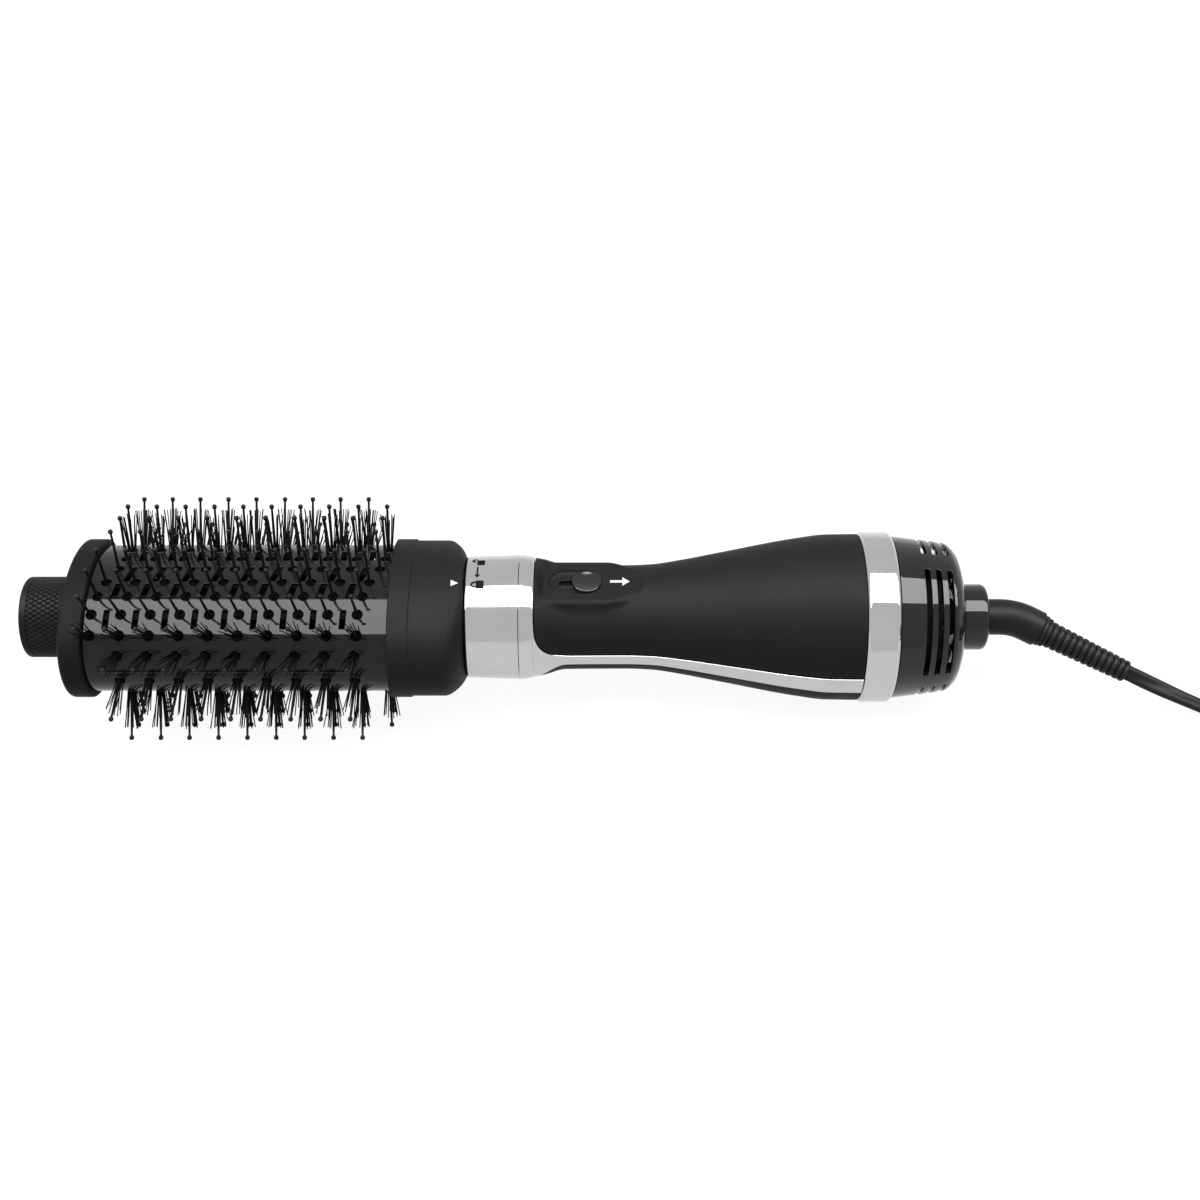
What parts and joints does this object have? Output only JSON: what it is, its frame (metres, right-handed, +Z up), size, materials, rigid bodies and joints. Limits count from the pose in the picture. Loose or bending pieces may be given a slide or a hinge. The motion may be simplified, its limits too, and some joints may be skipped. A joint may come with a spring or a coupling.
{
  "type": "hot air brush",
  "caption": "Corded hot air styling brush: oval barrel with bristle rows that twists and pulls off a round grip, with a slide switch, an air inlet at the rear and a swivel cord with a plug.",
  "frame": {"origin": "centre of the bottom of the box round the brush, cord and plug left out", "axes": "+X from the finger knob to the cord end, +Z up from the surface the brush lies on, switch facing +Z; the brush's own axis dips 2.4 degrees towards +X because it lies on its bristles and its rear band"},
  "size_m": [0.6063, 0.1062, 0.0849],
  "materials": {
    "barrel_coating": "dark glossy coating",
    "soft_touch_black": "soft-touch matte",
    "gloss_black": "polished",
    "nylon_black": "satin",
    "chrome_plating": "mirror plated",
    "steel": "plain",
    "mica": "pressed mica sheet",
    "board_green": "solder mask",
    "filter_foam": "open foam",
    "cord_black": "satin"
  },
  "bodies": {
    "handle": {"outlet_nozzle": "nylon_black", "lock_ring": "chrome_plating", "trim_frame": "chrome_plating", "handle_front_shell": "soft_touch_black", "handle_rear_shell": "soft_touch_black", "handle_screw_left": "steel", "handle_screw_right": "steel", "heater_coil": "steel", "heater_frame": "mica", "heater_tube": "mica", "thermal_cutout": "steel", "slide_switch": "nylon_black", "circuit_board": "board_green", "motor": "steel", "fan_housing": "nylon_black", "inlet_filter": "filter_foam", "rear_band": "chrome_plating", "rear_cap": "gloss_black", "swivel_boss": "gloss_black", "supply_lead": "cord_black", "cord": "cord_black", "cord_coil": "cord_black", "cord_tie": "cord_black", "cord_tail": "cord_black", "plug_body": "gloss_black", "plug_blade_left": "steel", "plug_blade_right": "steel"},
    "latch": {"latch_ring": "steel"},
    "head": {"barrel_tube": "barrel_coating", "bristle_row_01": "nylon_black", "bristle_row_02": "nylon_black", "bristle_row_03": "nylon_black", "bristle_row_04": "nylon_black", "bristle_row_05": "nylon_black", "bristle_row_06": "nylon_black", "bristle_row_07": "nylon_black", "bristle_row_08": "nylon_black", "bristle_row_09": "nylon_black", "bristle_row_10": "nylon_black", "bristle_row_11": "nylon_black", "bristle_row_12": "nylon_black", "bristle_row_13": "nylon_black", "bristle_row_14": "nylon_black", "bristle_row_15": "nylon_black", "bristle_row_16": "nylon_black", "bristle_row_17": "nylon_black", "bristle_row_18": "nylon_black", "bristle_row_19": "nylon_black", "bristle_row_20": "nylon_black", "front_cap": "gloss_black", "tip_knob": "nylon_black", "tip_screw": "steel", "head_collar": "soft_touch_black", "air_guide": "steel"},
    "switch": {"switch_slider": "soft_touch_black"},
    "fan": {"fan_rotor": "nylon_black", "motor_shaft": "steel"},
    "cord_swivel": {"swivel_stem": "nylon_black", "swivel_clip": "steel", "strain_relief": "nylon_black"}
  },
  "joints": [
    {"name": "head_twist", "type": "hinge", "parent": "handle", "child": "latch", "pos_m": [0.0084, 0, 0.03686], "axis": [0.9991, 0, -0.0424], "range_deg": [-31, 0]},
    {"name": "head_pull", "type": "slide", "parent": "latch", "child": "head", "axis": [-0.9991, 0, 0.0424], "range_m": [0, 0.045]},
    {"name": "switch_slide", "type": "slide", "parent": "handle", "child": "switch", "axis": [0.9991, 0, -0.0424], "range_m": [-0.0086, 0]},
    {"name": "fan_spin", "type": "hinge", "parent": "handle", "child": "fan", "pos_m": [0.0084, 0, 0.03686], "axis": [0.9991, 0, -0.0424], "continuous": true},
    {"name": "cord_swivel_turn", "type": "hinge", "parent": "handle", "child": "cord_swivel", "pos_m": [0.0084, 0, 0.03686], "axis": [0.9991, 0, -0.0424], "continuous": true}
  ]
}
